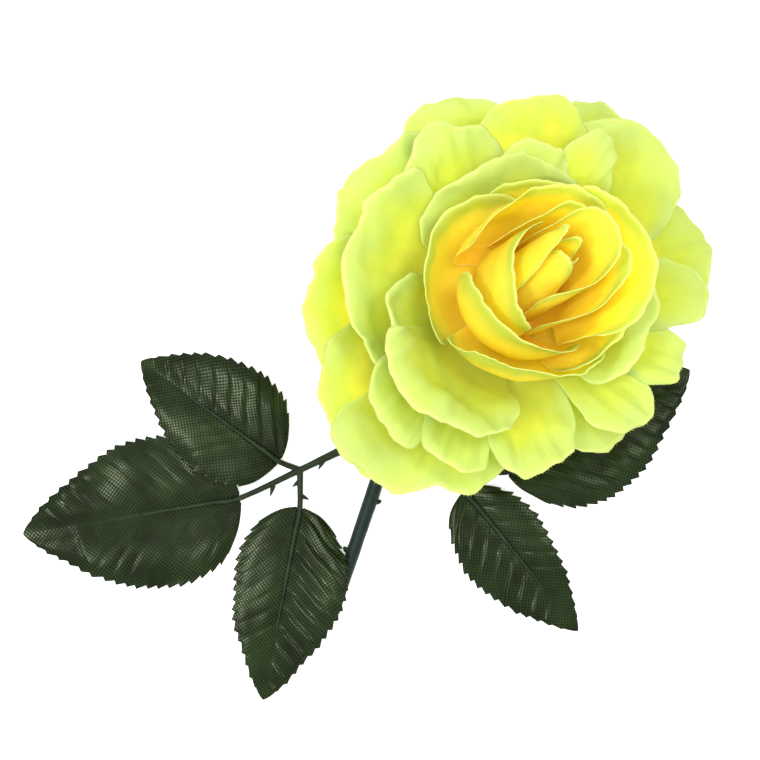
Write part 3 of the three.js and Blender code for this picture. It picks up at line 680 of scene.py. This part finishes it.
# short thorn stumps left on the sprigs by the mould: foot and point
nubs = {"left_sprig": [((-15.6, -22.2), (-17.3, -25.2)), ((-30.0, -29.6), (-30.8, -32.7)),
                       ((-22.4, -32.4), (-20.0, -33.6)), ((-22.6, -28.4), (-24.6, -30.0))],
        "right_sprig": [((14.5, -19.0), (13.4, -21.4)), ((28.8, -25.8), (29.8, -23.6))]}
sprigSizes = {"gap": 8.8, "socket": 4.6, "socketRadii": [1.4, 1.3, 0.9],
              "underAt": (0.0, 0.2, 0.45), "underDeep": 0.95, "underRadii": [0.8, 0.6, 0.5, 0.35],
              "ribAt": (0.0, 0.12, 0.3, 0.5, 0.7, 0.84), "ribHigh": 0.25,
              "ribRadii": [0.9, 0.75, 0.65, 0.55, 0.42, 0.3, 0.12],
              "nubHeights": (2.2, 2.6), "nubRadii": [0.75, 0.5, 0.15]}
rods = [(stemLine, stemRadii)]
for joint in joints.values():
    toward = unit(joint - fork)
    rods.append(([fork, *(fork + toward * far for far in stemSizes["stubAt"])], stemSizes["stubRadii"]))
for place, way in stemSizes["thorns"]:
    foot = cutEnd + (fork - cutEnd) * place
    out = unit(np.cross(alongStem, [0, 0, -way]))
    rods.append(([foot, foot + out * 2, foot + out * 3 + alongStem * 0.5], stemSizes["thornRadii"]))
stem = rodObject("stemRod", rods, materials["stem"], sides=20, lumpHeight=0.25, lumpWidth=4)
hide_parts("stem")
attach(stem, "root")


def onMidrib(leafName, t):
    return leafPoint(leaves[leafName], np.array(t), np.array(0.0))[0]


for name, joint in joints.items():
    toward = unit(joint - fork)
    start = fork + toward * sprigSizes["gap"]
    rods = [([start, start + toward * sprigSizes["socket"], joint], sprigSizes["socketRadii"])]
    ownLeaves = [n for n in leaves if n.startswith(name[:4])]
    for leafName in ownLeaves:  # the stalk runs on under the cloth
        under = [onMidrib(leafName, t) - [0, 0, sprigSizes["underDeep"] - 0.1 * k]
                 for k, t in enumerate(sprigSizes["underAt"])]
        rods.append(([joint, *under], sprigSizes["underRadii"]))
    for leafName in ownLeaves:  # the midrib stands on the cloth and thins out before the tip
        ridge = [onMidrib(leafName, t) + [0, 0, sprigSizes["ribHigh"]] for t in sprigSizes["ribAt"]]
        rods.append(([joint, *ridge], sprigSizes["ribRadii"]))
    for foot, point in nubs[name]:
        foot, point = (np.array([*p, z]) for p, z in zip((foot, point), sprigSizes["nubHeights"]))
        rods.append(([foot, foot * 0.45 + point * 0.55, point], sprigSizes["nubRadii"]))
    sprig = rodObject(name.replace("_", "-") + "-rods", rods, materials["sprig"], sides=12)
    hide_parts(name)
    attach(sprig, "root")
print("stem and sprigs made")

for node, key in (("bud_core", "core"), ("calyx", "sprig"), ("stem_wire", "wire")):
    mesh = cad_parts[node].data
    mesh.materials.clear()
    mesh.materials.append(materials[key])


# floor, daylight and three soft lamps
studio = {"floor": "#f4f4f4", "lift": 0.4, "world": 0.92, "aim": (0, 0, 0.02), "lamps": [
    ("softboxLeft", 4.1, 0.14, (-0.38, -0.06, 0.85)), ("softboxRight", 2.4, 0.3, (0.42, 0.28, 0.80)),
    ("ceiling", 4.9, 0.5, (0.03, 0.02, 0.95))]}
floorMesh = bpy.data.meshes.new("floor")
floorMesh.from_pydata([(-3, -3, 0), (3, -3, 0), (3, 3, 0), (-3, 3, 0)], [], [(0, 1, 2, 3)])
floor = bpy.data.objects.new("floor", floorMesh)
bpy.context.scene.collection.objects.link(floor)
paper, tree = newMaterial("whitePaper")
path = addNode(tree, "ShaderNodeLightPath")
seen = addNode(tree, "ShaderNodeMath", {0: path.outputs["Is Camera Ray"], 1: path.outputs["Is Glossy Ray"]},
               operation="MAXIMUM")
seen = addNode(tree, "ShaderNodeMath", {0: seen.outputs[0], 1: path.outputs["Is Transmission Ray"]},
               operation="MAXIMUM")
lift = addNode(tree, "ShaderNodeMath", {0: seen.outputs[0], 1: studio["lift"]}, operation="MULTIPLY")
matt = addNode(tree, "ShaderNodeBsdfDiffuse", {"Color": hexColour(studio["floor"])})
shine = addNode(tree, "ShaderNodeEmission", {"Color": (1, 1, 1, 1), "Strength": lift.outputs[0]})
both = addNode(tree, "ShaderNodeAddShader", {0: matt.outputs[0], 1: shine.outputs[0]})
addNode(tree, "ShaderNodeOutputMaterial", {"Surface": both.outputs[0]})
floorMesh.materials.append(paper)

world = bpy.data.worlds.new("daylight")
bpy.context.scene.world = world
world.use_nodes = True
tree = world.node_tree
tree.nodes.clear()
path = addNode(tree, "ShaderNodeLightPath")
strength = addNode(tree, "ShaderNodeMapRange", {"Value": path.outputs["Is Camera Ray"],
                   "To Min": studio["world"], "To Max": 1.0})
sky = addNode(tree, "ShaderNodeBackground", {"Color": (1, 1, 1, 1), "Strength": strength.outputs[0]})
addNode(tree, "ShaderNodeOutputWorld", {"Surface": sky.outputs[0]})

for name, power, size, place in studio["lamps"]:
    lamp = bpy.data.lights.new(name, "AREA")
    lamp.energy, lamp.size = power, size
    lampObject = bpy.data.objects.new(name, lamp)
    bpy.context.scene.collection.objects.link(lampObject)
    lampObject.location = place
    lampObject.visible_camera = False
    lampObject.visible_glossy = name != "ceiling"  # its light is polarised, so cloth doesn't mirror it
    aim = Vector(studio["aim"]) - lampObject.location
    lampObject.rotation_euler = aim.to_track_quat("-Z", "Y").to_euler()

print("studio made")

bpy.context.scene.view_settings.view_transform = "Standard"
